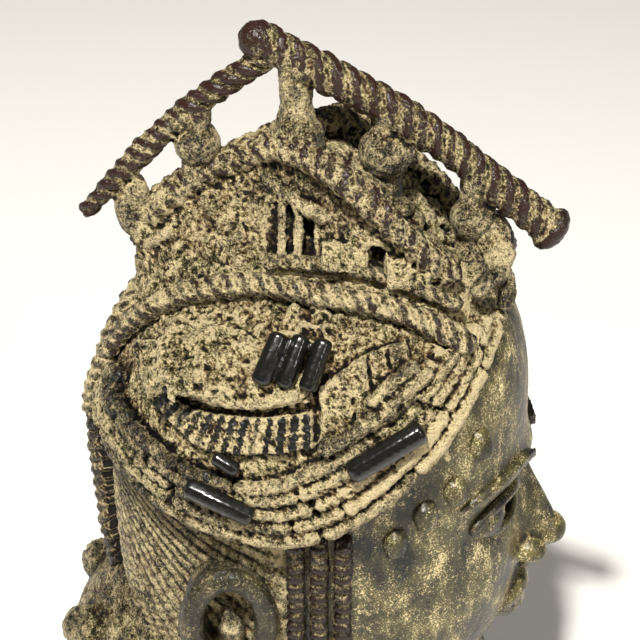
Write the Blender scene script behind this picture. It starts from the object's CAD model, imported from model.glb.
"""Bronze head with a roped headdress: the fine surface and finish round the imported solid."""
import math
import random

import bmesh
import bpy
import numpy as np
from mathutils import Matrix, Vector
from mathutils.kdtree import KDTree


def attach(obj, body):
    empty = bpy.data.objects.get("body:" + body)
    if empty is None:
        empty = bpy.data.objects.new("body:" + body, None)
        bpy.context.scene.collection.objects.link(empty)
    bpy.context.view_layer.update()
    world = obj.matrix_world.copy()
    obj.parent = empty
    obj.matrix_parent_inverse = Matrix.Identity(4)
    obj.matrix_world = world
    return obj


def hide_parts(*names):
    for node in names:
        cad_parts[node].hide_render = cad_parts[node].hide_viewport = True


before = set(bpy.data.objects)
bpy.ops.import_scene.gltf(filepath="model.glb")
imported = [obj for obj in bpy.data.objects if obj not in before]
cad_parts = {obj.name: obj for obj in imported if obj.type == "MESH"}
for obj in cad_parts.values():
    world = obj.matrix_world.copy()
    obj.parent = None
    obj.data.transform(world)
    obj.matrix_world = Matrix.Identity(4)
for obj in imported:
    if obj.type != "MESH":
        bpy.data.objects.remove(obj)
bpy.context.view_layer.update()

bl_info = {
    "name": "Bronze Head Sculpture",
    "version": (1, 0, 0),
    "blender": (4, 5, 0),
    "location": "View3D > Sidebar > Bronze Head",
    "description": "Builds a cast bronze head with a plaited cap, a roped crest and a gable of rods",
    "category": "Add Mesh",
}

NODE = "bronze_head"
BODY = "root"
RIGHT, LEFT = SIDES = (-1, 1)
TINY = 1e-9

# Head, crest, gable, ears and collar: the solid's own sizes, in metres
MIDDLE = np.array([0.0, 0.002, 0.215])
HALF_WIDTH, REACH_FRONT, REACH_BACK = 0.077, 0.102, 0.091
CROWN_RISE, JAW_DROP = 0.104, 0.127
LEVEL_POWER = 2.25
CAP_THICKNESS = 0.009
RIM_LOWEST, RIM_LOWEST_BACK = 0.220, 0.010
RIM_RISE_FRONT, RIM_RISE_BACK = 9.4, 3.55
SIDE_TILT = math.radians(33.0)
CREST_BACK, CREST_FRONT, CREST_RIDGE_HEIGHT = 0.078, 0.084, 0.375
CREST_FLAT_BACK, CREST_FLAT_FRONT = 0.015, 0.017
CREST_SLOPE_BACK, CREST_SLOPE_FRONT, CREST_END_DROP = 0.60, 1.06, 0.015
CREST_FORK, CREST_TROUGH, CREST_ROOT = 0.034, 0.007, 0.012
CROWN_ROPE_SPREAD = math.radians(17.0)
WINDOWS = ((-0.007, 0.022, 0.3405), (0.031, 0.007, 0.330))
WINDOW_DEPTH, WINDOW_HEIGHT, WINDOW_LEAN = 0.0055, 0.023, math.radians(20.0)
PEAK_HEIGHT, PEAK_BACK = 0.4205, 0.014
GABLE_BACK_REACH, GABLE_BACK_DROP = 0.101, 0.0885
GABLE_FRONT_REACH, GABLE_FRONT_DROP = 0.104, 0.0855
EAR_HEIGHT, EAR_WIDTH, EAR_TOP, EAR_SET_BACK = 0.062, 0.042, 0.201, 0.030
EYE_SPACING, EYE_WIDTH, EYE_HEIGHT, LID_RADIUS = 0.064, 0.034, 0.019, 0.0028
NOSE_LENGTH, NOSE_WIDTH, NOSE_DEPTH = 0.044, 0.040, 0.022
COLLAR_HALF_WIDTH, COLLAR_REACH_BACK, COLLAR_REACH_FRONT = 0.104, 0.129, 0.100
COLLAR_HEIGHT_BACK, COLLAR_HEIGHT_FRONT = 0.138, 0.086
COLLAR_FOOT, COLLAR_ROLL_START = 0.90, 0.52
CHIN = MIDDLE[2] - JAW_DROP
HEAD_HEIGHT = CROWN_RISE + JAW_DROP
EYE_LINE = CHIN + 0.50 * HEAD_HEIGHT
BROW_LINE = CHIN + 0.575 * HEAD_HEIGHT
NOSE_BASE = EYE_LINE - NOSE_LENGTH
MOUTH_LINE = CHIN + 0.205 * HEAD_HEIGHT

# Grain: edge of a piece's faces, where it isn't one of the panel's two
FACE_GRAIN, HAIR_GRAIN, CAP_GRAIN, FAR_CAP_GRAIN = 0.0009, 0.0011, 0.0009, 0.0013
TUBE_GRAIN, CREST_GRAIN, COLLAR_GRAIN = 0.0009, 0.0010, 0.0020

# Thinner ropes, rods and braids
LOW_ROPE_RADIUS, NAPE_ROPE_RADIUS = 0.0036, 0.0062
ROD_RADIUS_BACK, ROD_RADIUS_FRONT = 0.0058, 0.0080
BRAID_RADIUS, BRAID_LAY, BRAID_SPACING, BRAID_LENGTH = 0.0042, 0.011, 0.0105, 0.084

# Relief of the casting: name, width and share of the crust's depth
RELIEF_LAYERS = (("lumps", 0.009, 0.45), ("grit", 0.0040, 0.45), ("pits", 0.0019, 0.42))
# Rounds of smoothing and depth in grains that count as a hollow, near and wide
NEAR_ROUNDS, NEAR_DEPTH, WIDE_ROUNDS, WIDE_DEPTH = 4, 0.32, 50, 1.6
ROPE_STEP, CORD_STEP, LINE_STEP = 0.0012, 0.0015, 0.002
# Strands of a rope: place and radius, and the core's radius, as shares of the rope's radius
STRAND_OUT, STRAND_GIRTH, CORE_GIRTH = 0.58, 0.49, 0.45
# Metal: roughness of the bare metal, and strength of its highlights
GLOSSY_METAL, WORN_METAL = (0.20, 0.50), (0.26, 0.38)
CRUST_ROUGH, BUMP_DEPTH = 0.42, 0.0032
CREASE_COLOUR = (0.004, 0.003, 0.002)
SLAB_ROOT = 0.003
JOINT_WEAR, JOINT_WEAR_REACH = -0.14, 0.0016


class BronzeHeadSizes(bpy.types.PropertyGroup):
    """Sizes of the fine relief."""

    skin_grain: bpy.props.FloatProperty(
        name="Skin grain", description="Edge of the faces on the head and collar",
        default=0.00150, unit="LENGTH", precision=5)
    fine_grain: bpy.props.FloatProperty(
        name="Fine grain", description="Edge of the faces on the cap, crest, ropes and ears",
        default=0.00090, unit="LENGTH", precision=5)
    plait_pitch: bpy.props.FloatProperty(
        name="Plait pitch", description="Distance between the rows of cord on the cap",
        default=0.0065, unit="LENGTH", precision=4)
    plait_rows: bpy.props.IntProperty(
        name="Plait rows", description="Rows of cord round each side of the cap", default=5)
    rope_lay: bpy.props.FloatProperty(
        name="Rope lay", description="Length of one full turn of a rope's strands",
        default=0.021, unit="LENGTH", precision=4)
    crest_rope_radius: bpy.props.FloatProperty(
        name="Crest rope radius", description="Half the thickness of the ropes on the crest",
        default=0.0064, unit="LENGTH", precision=4)
    crown_rope_radius: bpy.props.FloatProperty(
        name="Crown rope radius", description="Half the thickness of the ropes below the crest",
        default=0.0054, unit="LENGTH", precision=4)
    crust_depth: bpy.props.FloatProperty(
        name="Crust depth", description="Height of the roughest lumps of the cast surface",
        default=0.0034, unit="LENGTH", precision=4)


class BronzeHeadColours(bpy.types.PropertyGroup):
    """Colours of the bronze and of what has settled on it."""

    cream: bpy.props.FloatVectorProperty(
        name="Cream", description="Pale grains of the crust", subtype="COLOR", size=3,
        default=(0.92, 0.76, 0.43), min=0, max=1)
    tan: bpy.props.FloatVectorProperty(
        name="Tan", description="Body of the crust", subtype="COLOR", size=3,
        default=(0.34, 0.245, 0.105), min=0, max=1)
    moss: bpy.props.FloatVectorProperty(
        name="Moss", description="Yellow-green places of the crust", subtype="COLOR", size=3,
        default=(0.30, 0.262, 0.105), min=0, max=1)
    brown: bpy.props.FloatVectorProperty(
        name="Brown", description="Dark grains and thin places of the crust", subtype="COLOR", size=3,
        default=(0.026, 0.015, 0.006), min=0, max=1)
    metal: bpy.props.FloatVectorProperty(
        name="Metal", description="Dark worn metal", subtype="COLOR", size=3,
        default=(0.0050, 0.0050, 0.0040), min=0, max=1)
    ruddy: bpy.props.FloatVectorProperty(
        name="Ruddy metal", description="Red-brown metal on the ropes", subtype="COLOR", size=3,
        default=(0.024, 0.0085, 0.0050), min=0, max=1)
    skin: bpy.props.FloatVectorProperty(
        name="Skin", description="Green-gold patina of the smooth skin", subtype="COLOR", size=3,
        default=(0.125, 0.107, 0.037), min=0, max=1)
    shade: bpy.props.FloatVectorProperty(
        name="Skin shade", description="Dark olive in the skin's streaks", subtype="COLOR", size=3,
        default=(0.034, 0.030, 0.014), min=0, max=1)
    rust: bpy.props.FloatVectorProperty(
        name="Rust", description="Orange earth in deep hollows", subtype="COLOR", size=3,
        default=(0.20, 0.095, 0.040), min=0, max=1)
    floor: bpy.props.FloatVectorProperty(
        name="Floor", description="Pale floor and backdrop", subtype="COLOR", size=3,
        default=(0.86, 0.835, 0.795), min=0, max=1)


def sizes():
    return bpy.context.scene.bronze_head_sizes


def colours():
    return bpy.context.scene.bronze_head_colours


# Shape of the head and cap

def ease(low, high, value):
    """Smooth step from 0 at low to 1 at high."""
    share = np.clip((np.asarray(value, float) - low) / (high - low), 0.0, 1.0)
    return share * share * (3.0 - 2.0 * share)


def hump(value, width):
    """Bell of height 1 around 0."""
    return np.exp(-((np.asarray(value) / width) ** 2))


def last_inside(count, limit, inside, rounds):
    """The furthest value from 0 to limit that is still inside, for each of count lines."""
    near, far = np.zeros(count), np.full(count, limit)
    for _ in range(rounds):
        middle = (near + far) / 2
        held = inside(middle)
        near, far = np.where(held, middle, near), np.where(held, far, middle)
    return near


def head_reach(direction):
    """Distance from the head's middle to the bare head, along each unit direction."""
    side, ahead, up = direction[..., 0], -direction[..., 1], direction[..., 2]
    level = np.sqrt(side * side + ahead * ahead) + TINY
    facing = ahead / level
    depth = np.where(ahead > 0, REACH_FRONT, REACH_BACK)
    ring = ((np.abs(side) / HALF_WIDTH) ** LEVEL_POWER
            + (np.abs(ahead) / depth) ** LEVEL_POWER) ** (1 / LEVEL_POWER)
    height = np.where(up > 0, CROWN_RISE, JAW_DROP)
    upper = 2.0 + 0.45 * ease(-1, 0, facing) + 1.45 * ease(0.1, 1, facing)
    lower = 4.0 - 0.8 * ease(-1, 0, facing) + 0.5 * ease(0.1, 1, facing)
    power = np.where(up > 0, upper, lower)
    return (ring**power + (np.abs(up) / height) ** power) ** (-1 / power)


def skin_points(ways):
    """Points of the bare head along each unit direction from its middle."""
    return MIDDLE + ways * head_reach(ways)[:, None]


def from_middle(points):
    """Each point's distance from the head's middle, and the bare head's reach that way."""
    offset = points - MIDDLE
    length = np.linalg.norm(offset, axis=1) + TINY
    return length, head_reach(offset / length[:, None])


def rim_height(ahead):
    """Height of the cap's lower edge, by the distance ahead of the origin."""
    offset = np.asarray(ahead) + RIM_LOWEST_BACK
    return RIM_LOWEST + np.where(offset > 0, RIM_RISE_FRONT, RIM_RISE_BACK) * offset**2


def cap_thickness(ahead):
    """The cap is thinner towards the brow."""
    return CAP_THICKNESS * (1.0 - 0.6 * ease(0.050, 0.088, ahead))


def face_push(side, height):
    """How far the face stands forward of the plain head at each place of its front."""
    away = np.abs(side)
    sockets = -0.0085 * hump(away - EYE_SPACING / 2, 0.020) * hump(height - EYE_LINE - 0.001, 0.0125)
    brows = 0.0035 * hump(height - BROW_LINE, 0.008) * ease(0.064, 0.030, away)
    down = np.clip((EYE_LINE + 0.006 - height) / (NOSE_LENGTH - 0.002), 0.0, 1.0)
    ridge = 0.0065 + (NOSE_WIDTH * 0.30 - 0.0065) * down**1.3
    foot = ease(NOSE_BASE - 0.006, NOSE_BASE + 0.005, height) * ease(0.0, 0.12, down + 0.04)
    nose = (0.002 + (NOSE_DEPTH - 0.002) * down) * hump(side, ridge) * foot
    mouth = 0.0045 * hump(away, 0.028) * hump(height - MOUTH_LINE, 0.024)
    chin = 0.0055 * hump(side, 0.020) * hump(height - CHIN - 0.016, 0.013)
    cheeks = 0.0030 * hump(away - 0.043, 0.018) * hump(height - NOSE_BASE - 0.010, 0.022)
    return sockets + brows + nose + mouth + chin + cheeks


def reach_out(starts, ways, lift=0.0):
    """Where straight lines from inside the head meet its surface plus lift."""
    starts = np.atleast_2d(np.asarray(starts, float))
    ways = np.broadcast_to(np.asarray(ways, float), starts.shape)

    def inside(run):
        length, reach = from_middle(starts + ways * run[:, None])
        return length < reach + lift

    return starts + ways * last_inside(len(starts), 0.20, inside, 26)[:, None]


def on_cap(starts, ways, extra):
    """Where straight lines meet the cap's surface plus extra."""
    first = reach_out(starts, ways, CAP_THICKNESS)
    return reach_out(starts, ways, cap_thickness(-first[:, 1]) + extra)


def side_axes(sign):
    """The axis square to the cap's side, and the two directions across it."""
    axis = np.array([sign * math.cos(SIDE_TILT), 0.0, math.sin(SIDE_TILT)])
    upward = np.array([-sign * math.sin(SIDE_TILT), 0.0, math.cos(SIDE_TILT)])
    return axis, np.array([0.0, -1.0, 0.0]), upward


def on_panel(sign, spots, extra=0.0):
    """Points of the cap's side by their place ahead and upward on its tilted panel."""
    axis, ahead, upward = side_axes(sign)
    spots = np.atleast_2d(np.asarray(spots, float))
    starts = MIDDLE + spots[:, :1] * ahead + spots[:, 1:2] * upward
    return on_cap(starts, axis, extra)


def plait_line(sign, bearings, inset, extra):
    """Points along a row of the cap's side, by bearing round its axis and inset from the rim."""
    axis, ahead, upward = side_axes(sign)
    spokes = np.cos(bearings)[:, None] * ahead + np.sin(bearings)[:, None] * upward

    def ways_at(opening):
        return np.cos(opening)[:, None] * axis + np.sin(opening)[:, None] * spokes

    def inside(opening):
        points = skin_points(ways_at(opening))
        return (points[:, 2] > rim_height(-points[:, 1])) & (points[:, 0] * sign > 0.004)

    opening = last_inside(len(bearings), math.radians(80), inside, 22) - inset / HALF_WIDTH
    ways = ways_at(opening)
    ahead_of_origin = -skin_points(ways)[:, 1]
    return MIDDLE + ways * (head_reach(ways) + cap_thickness(ahead_of_origin) + extra)[:, None]


def over_crown(turns, spreads, lift=0.0):
    """Points over the crown: turn runs from the brow over the top, spread goes sideways."""
    turns, spreads = np.atleast_1d(turns).astype(float), np.atleast_1d(spreads).astype(float)
    sagittal = np.stack([np.zeros(len(turns)), -np.cos(turns), np.sin(turns)], axis=1)
    ways = np.cos(spreads)[:, None] * sagittal + np.sin(spreads)[:, None] * np.array([1.0, 0, 0])
    return MIDDLE + ways * (head_reach(ways) + lift)[:, None]


def on_side(sign, spots, lift=0.0):
    """Points of the head's side by distance ahead and height."""
    spots = np.atleast_2d(np.asarray(spots, float))
    starts = np.stack([np.zeros(len(spots)), -spots[:, 0], spots[:, 1]], axis=1)
    return reach_out(starts, (sign, 0.0, 0.0), lift)


def on_face(side, height, lift=0.0):
    """Point of the face's front at a place, lift forward of the skin."""
    spot = reach_out((side, -0.02, height), (0.0, -1.0, 0.0))[0]
    return spot - np.array([0.0, float(face_push(side, height)) + lift, 0.0])


# Shape of the crest and gable

def soft_ramp(offset, rounding=0.010):
    """Zero below 0 and offset above it, with the corner between them rounded."""
    return (offset + np.sqrt(offset**2 + rounding**2)) / 2


def ridge_height(ahead):
    """Height of the crest's ropes along the crest."""
    back = soft_ramp(-ahead - CREST_FLAT_BACK)
    front = soft_ramp(ahead - CREST_FLAT_FRONT)
    end = np.clip(back / (CREST_BACK - CREST_FLAT_BACK), 0, 1)
    return (CREST_RIDGE_HEIGHT - CREST_SLOPE_BACK * back - CREST_END_DROP * end**6
            - CREST_SLOPE_FRONT * front)


def ridge_half_width(ahead):
    """The crest's ropes run together behind the peak and fork ahead of it."""
    fork = (CREST_FORK - 0.002) * ease(-0.028, 0.034, ahead)
    return 0.002 + fork - 0.010 * ease(0.045, 0.085, ahead)


def crest_foot(ahead):
    """Half width and height of the crest's foot on the cap."""
    turn = math.acos(max(-0.99, min(0.99, ahead / (CROWN_RISE + 0.006))))
    foot = over_crown(turn, CROWN_ROPE_SPREAD * 1.05)[0]
    half = max(foot[0], ridge_half_width(ahead) + 0.004)
    return half, reach_out((half, -ahead, 0.24), (0, 0, 1))[0][2]


def wall_out(ahead, height):
    """How far the crest's wall stands from the middle plane at a place."""
    top, half = ridge_height(ahead), ridge_half_width(ahead)
    foot_half, foot_height = crest_foot(ahead)
    return foot_half + (half - foot_half) * (height - foot_height) / (top - foot_height)


def rod_height(ahead):
    """Height of the gable's rods above a distance ahead."""
    if ahead < -PEAK_BACK:
        return PEAK_HEIGHT - GABLE_BACK_DROP * (-ahead - PEAK_BACK) / (GABLE_BACK_REACH - PEAK_BACK)
    return PEAK_HEIGHT - GABLE_FRONT_DROP * (ahead + PEAK_BACK) / (GABLE_FRONT_REACH + PEAK_BACK)


def even_path(points, spacing):
    """Evenly spaced points on a smooth curve through the given ones, and their distances."""
    points = np.array(points, float)
    padded = np.vstack([2 * points[0] - points[1], points, 2 * points[-1] - points[-2]])
    fine = []
    for a, b, c, d in zip(padded, padded[1:], padded[2:], padded[3:]):
        for share in np.linspace(0, 1, 12, endpoint=False):
            fine.append(0.5 * (2 * b + (c - a) * share + (2 * a - 5 * b + 4 * c - d) * share**2
                               + (3 * b - a - 3 * c + d) * share**3))
    fine = np.array(fine + [points[-1]])
    run = np.concatenate([[0.0], np.cumsum(np.linalg.norm(np.diff(fine, axis=0), axis=1))])
    marks = np.linspace(0.0, run[-1], max(3, int(run[-1] / spacing) + 1))
    return np.stack([np.interp(marks, run, fine[:, k]) for k in range(3)], axis=1), marks


def placed(name, data):
    """A new object in the scene."""
    made = bpy.data.objects.new(name, data)
    bpy.context.scene.collection.objects.link(made)
    return made


def mesh_of(bm, name):
    """A new mesh of everything in bm, which is freed."""
    mesh = bpy.data.meshes.new(name)
    bm.to_mesh(mesh)
    bm.free()
    return mesh


class Wax:
    """Cords, balls and slabs laid on each other, as the wax is before the casting."""

    def __init__(self):
        self.bm = bmesh.new()
        self.curve = bpy.data.curves.new("wax_cords", "CURVE")
        self.curve.dimensions = "3D"
        self.curve.bevel_depth = 1.0
        self.curve.bevel_resolution = 2
        self.curve.use_fill_caps = True
        self.spots = []

    def wear(self, points, reach, worn, ruddy=0.0):
        """Remembers how worn (1 is bare, below 0 is filled with crust) and ruddy the metal is there."""
        for point in np.atleast_2d(points):
            self.spots.append((point, reach, worn, ruddy))

    def cord(self, points, radii, rounding=1.0, worn=None):
        """A cord of the given radius or radii; rounding is 1 for round ends and 0 for flat ones."""
        points = np.array(points, float)
        radii = np.broadcast_to(np.asarray(radii, float), (len(points),)).copy()
        if worn is not None:
            self.wear(points[::2], 1.5 * radii.max(), worn)
        if rounding:
            run = np.concatenate([[0], np.cumsum(np.linalg.norm(np.diff(points, axis=0), axis=1))])
            edge = np.minimum(run, run[-1] - run) / np.maximum(rounding * radii, 1e-6)
            radii *= np.sqrt(np.clip(1.0 - (1.0 - np.clip(edge + 0.12, 0, 1)) ** 2, 0.05, 1.0))
        spline = self.curve.splines.new("POLY")
        spline.points.add(len(points) - 1)
        spline.points.foreach_set("co", np.hstack([points, np.ones((len(points), 1))]).ravel())
        spline.points.foreach_set("radius", radii)

    def smooth_cord(self, points, radius, spacing=CORD_STEP, **look):
        """A cord along a smooth curve through the points."""
        self.cord(even_path(points, spacing)[0], radius, **look)

    def bead(self, start, end, radius, worn=None):
        """A straight tube between two points."""
        shares = np.linspace(0, 1, 9)[:, None]
        self.cord(np.asarray(start) * (1 - shares) + np.asarray(end) * shares, radius, worn=worn)

    def rope(self, points, radius, lay, worn, ruddy, strands=3, taper=0.0):
        """Uneven strands turning round a smooth path, thinner by taper towards its first end."""
        path, run = even_path(points, ROPE_STEP)
        draw = np.random.default_rng(len(path))
        ahead = np.gradient(path, axis=0)
        ahead /= np.linalg.norm(ahead, axis=1)[:, None]
        normal = np.cross(ahead[0], (0.31, 0.52, 0.79))
        normals, across = [], []
        for way in ahead:
            normal = normal - way * normal.dot(way)
            normal = normal / np.linalg.norm(normal)
            normals.append(normal)
            across.append(np.cross(way, normal))
        normals, across = np.array(normals), np.array(across)
        size = radius * (1.0 - taper * (1.0 - np.clip(run / (run[-1] * 0.35), 0, 1)))
        size *= 1.0 + 0.06 * np.sin(run / 0.011 + draw.uniform(0, 6)) * np.sin(run / 0.029)
        slip = 0.30 * np.sin(run / 0.014 + draw.uniform(0, 6)) + 0.30 * np.sin(run / 0.037)
        for strand in range(strands):
            turn = 2 * math.pi * (run / lay + strand / strands) + slip
            offset = np.cos(turn)[:, None] * normals + np.sin(turn)[:, None] * across
            swell = 1.0 + 0.09 * np.sin(run / 0.0052 + draw.uniform(0, 6)) * np.sin(run / 0.017 + strand)
            self.cord(path + STRAND_OUT * size[:, None] * offset, STRAND_GIRTH * size * swell)
        self.cord(path, CORE_GIRTH * size)
        self.wear(path[::3], 1.3 * radius, worn, ruddy)

    def folds(self, spots, place, seed):
        """Short crooked folds of wax round the given spots, laid by a function of the surface."""
        draw = random.Random(seed)
        for spot in spots:
            way = draw.uniform(0, 2 * math.pi)
            line = [np.array(spot, float)]
            for _ in range(draw.randint(3, 7)):
                way += draw.uniform(-0.7, 0.7)
                line.append(line[-1] + 0.0017 * np.array([math.cos(way), math.sin(way)]))
            self.cord(place(line), draw.uniform(0.0008, 0.0016))

    def ball(self, centre, half_sizes, turn=None, segments=20):
        """An ellipsoid with the given half sizes."""
        single = bmesh.new()
        matrix = Matrix.Translation(Vector(centre)) @ (turn or Matrix.Identity(4))
        matrix = matrix @ Matrix.Diagonal((*half_sizes, 1.0))
        bmesh.ops.create_uvsphere(single, u_segments=segments, v_segments=segments * 2 // 3, radius=1.0,
                                  matrix=matrix)
        self.add(single)

    def add(self, single):
        """Adds a finished shape to the wax."""
        mesh = mesh_of(single, "shape")
        self.bm.from_mesh(mesh)
        bpy.data.meshes.remove(mesh)

    def block(self, centre, full_sizes, turn):
        """A turned box with the given full sizes."""
        made = bmesh.ops.create_cube(self.bm, size=1.0)
        matrix = Matrix.Translation(Vector(centre)) @ turn @ Matrix.Diagonal((*full_sizes, 1.0))
        bmesh.ops.transform(self.bm, matrix=matrix, verts=made["verts"])

    def slab(self, corners, rise, worn=None):
        """A flat slab whose four upper corners stand rise above the given ones."""
        low_left, low_right, high_right, high_left = (np.asarray(c, float) for c in corners)
        normal = np.cross(low_right - low_left, high_left - low_left)
        normal /= np.linalg.norm(normal)
        if normal.dot((low_left + high_right) / 2 - MIDDLE) < 0:
            normal = -normal
        made = bmesh.ops.create_cube(self.bm, size=1.0)
        for vert in made["verts"]:
            x, y, z = (c + 0.5 for c in vert.co)
            flat = ((1 - x) * (1 - y) * low_left + x * (1 - y) * low_right
                    + x * y * high_right + (1 - x) * y * high_left)
            vert.co = Vector(flat + normal * (rise * z - SLAB_ROOT * (1 - z)))
        if worn is not None:
            foot, head = (low_left + low_right) / 2, (high_left + high_right) / 2
            wide = np.linalg.norm(low_right - low_left)
            for share in (0.15, 0.38, 0.62, 0.85):
                self.wear(foot + (head - foot) * share + normal * rise, wide * 0.75, worn)

    def sphere_form(self, shape):
        """A sphere whose points are moved by a function of their directions."""
        single = bmesh.new()
        bmesh.ops.create_icosphere(single, subdivisions=8, radius=1.0)
        ways = np.array([v.co[:] for v in single.verts])
        ways /= np.linalg.norm(ways, axis=1)[:, None]
        for vert, point in zip(single.verts, shape(ways)):
            vert.co = Vector(point)
        self.add(single)

    def take(self, made):
        """Adds an object's mesh and removes the object."""
        self.bm.from_mesh(made.data)
        bpy.data.objects.remove(made)

    def as_object(self, name):
        """One object of everything laid so far."""
        if self.curve.splines:
            self.take(made_real(placed("wax_cords", self.curve), "wax_cords"))
        bmesh.ops.remove_doubles(self.bm, verts=self.bm.verts, dist=1e-6)
        bmesh.ops.recalc_face_normals(self.bm, faces=self.bm.faces)
        return placed(name, mesh_of(self.bm, name))


def made_real(source, name):
    """The object with its modifiers made real, in place of the old one."""
    bpy.context.view_layer.update()
    graph = bpy.context.evaluated_depsgraph_get()
    mesh = bpy.data.meshes.new_from_object(source.evaluated_get(graph))
    bpy.data.objects.remove(source)
    return placed(name, mesh)


def points_of(mesh, what="co"):
    """A mesh's points or normals as an array."""
    source = mesh.vertices if what == "co" else mesh.vertex_normals
    values = np.empty(len(mesh.vertices) * 3, np.float32)
    source.foreach_get("co" if what == "co" else "vector", values)
    return values.reshape(-1, 3).astype(float)


def set_points(mesh, points):
    """Moves a mesh's points."""
    mesh.vertices.foreach_set("co", points.astype(np.float32).ravel())
    mesh.update()


def close_off(made, hidden, inner):
    """Cuts away what lies hidden inside and closes the cut to one inner point."""
    points = points_of(made.data)
    gone = hidden(points)
    if not gone.any():
        return
    bm = bmesh.new()
    bm.from_mesh(made.data)
    bm.verts.ensure_lookup_table()
    bmesh.ops.delete(bm, geom=[bm.verts[i] for i in np.nonzero(gone)[0]], context="VERTS")
    rims = [e for e in bm.edges if e.is_boundary]
    grown = bmesh.ops.extrude_edge_only(bm, edges=rims)
    tips = [g for g in grown["geom"] if isinstance(g, bmesh.types.BMVert)]
    bmesh.ops.pointmerge(bm, verts=tips, merge_co=Vector(inner))
    bmesh.ops.recalc_face_normals(bm, faces=bm.faces)
    bm.to_mesh(made.data)
    bm.free()


def smoothed(points, edges, rounds):
    """Points after rounds of averaging with their neighbours."""
    count = np.bincount(edges.ravel(), minlength=len(points)).astype(float)
    count[count == 0] = 1.0
    current = points.copy()
    for _ in range(rounds):
        total = np.empty_like(current)
        for k in range(3):
            ends = current[:, k]
            total[:, k] = (np.bincount(edges[:, 0], ends[edges[:, 1]], len(points))
                           + np.bincount(edges[:, 1], ends[edges[:, 0]], len(points)))
        current = 0.4 * current + 0.6 * total / count[:, None]
    return current


def hollowness(mesh, grain):
    """How hollow each point lies in its near and its wide surroundings, 0 on a crest to 1."""
    points, normals = points_of(mesh), points_of(mesh, "normal")
    edges = np.empty(len(mesh.edges) * 2, np.int32)
    mesh.edges.foreach_get("vertices", edges)
    edges = edges.reshape(-1, 2)
    near = smoothed(points, edges, NEAR_ROUNDS)
    wide = smoothed(near, edges, WIDE_ROUNDS)
    fine = ((near - points) * normals).sum(axis=1) / (NEAR_DEPTH * grain)
    broad = ((wide - points) * normals).sum(axis=1) / (WIDE_DEPTH * grain)
    return np.clip(0.5 + 0.5 * fine, 0, 1), np.clip(0.5 + 0.5 * broad, 0, 1)


def nearest_wear(spots, points, worn):
    """How worn and how ruddy each point is, from the nearest remembered spot."""
    values = np.tile((worn, 0.0), (len(points), 1))
    if not spots:
        return values
    tree = KDTree(len(spots))
    for k, spot in enumerate(spots):
        tree.insert(spot[0], k)
    tree.balance()
    for k, point in enumerate(points):
        _, found, distance = tree.find(point)
        _, reach, spot_worn, ruddy = spots[found]
        share = min(1.0, max(0.0, (1.25 - distance / reach) / 0.35))
        values[k] = worn + (spot_worn - worn) * share, ruddy * share
    return values


def cast(wax, name, grain, rough=1.0, shape=None, cuts=(), polish=None, worn=0.2, finish="cast_bronze"):
    """Fuses the wax into one closed skin, roughens it and marks its hollows and worn places.

    Rough is a share of the crust's depth, shape moves the fused points, each cut is a test for hidden
    points and an inner point to close to, polish says how smooth each point is, and worn how bare.
    """
    raw = wax.as_object("wax")
    fuse = raw.modifiers.new("fuse", "REMESH")
    fuse.mode = "VOXEL"
    fuse.voxel_size = grain
    made = made_real(raw, name)
    if shape:
        set_points(made.data, shape(points_of(made.data), points_of(made.data, "normal")))
    for hidden, inner in cuts:
        close_off(made, hidden, inner)
    depth = sizes().crust_depth * rough
    for title, width, share in RELIEF_LAYERS:
        layer = made.modifiers.new(title, "DISPLACE")
        layer.texture = bpy.data.textures.new(title, "CLOUDS")
        layer.texture.noise_scale = width
        layer.strength = depth * share
        layer.mid_level = 0.5
    made = made_real(made, name)
    mesh = made.data
    mesh.shade_smooth()
    points = points_of(mesh)
    smooth = np.clip(polish(points), 0, 1) if polish else np.zeros(len(points))
    wear = nearest_wear(wax.spots, points, worn)
    fine, broad = hollowness(mesh, grain)
    for title, values in (("fine_hollow", fine), ("deep_hollow", broad), ("bare_skin", smooth),
                          ("worn", wear[:, 0]), ("ruddy", wear[:, 1])):
        marks = mesh.attributes.new(title, "FLOAT", "POINT")
        marks.data.foreach_set("value", values.astype(np.float32))
    mesh.materials.clear()
    mesh.materials.append(bronze(finish))
    settle(made)
    return made


def settle(made):
    """Ties a finished piece to the casting."""
    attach(made, BODY)


def in_skin(depth, cap=False):
    """A test for points that lie deeper than depth inside the head or its cap."""
    def hidden(points):
        length, reach = from_middle(points)
        if cap:
            reach = reach + cap_thickness(-points[:, 1]) - 0.0015
        return length < reach - depth
    return hidden


def under_crest(points):
    """The cap's top that the crest hides."""
    aheads = np.linspace(-0.070, 0.070, 15)
    halves = [crest_foot(a)[0] for a in aheads]
    ahead = -points[:, 1]
    half = np.interp(ahead, aheads, halves) - 0.008
    return (np.abs(ahead) < 0.066) & (np.abs(points[:, 0]) < half) & (points[:, 2] > 0.27)


# Finish of the metal. Noise scales and steps are set by eye, so they stay where they are used.

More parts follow.
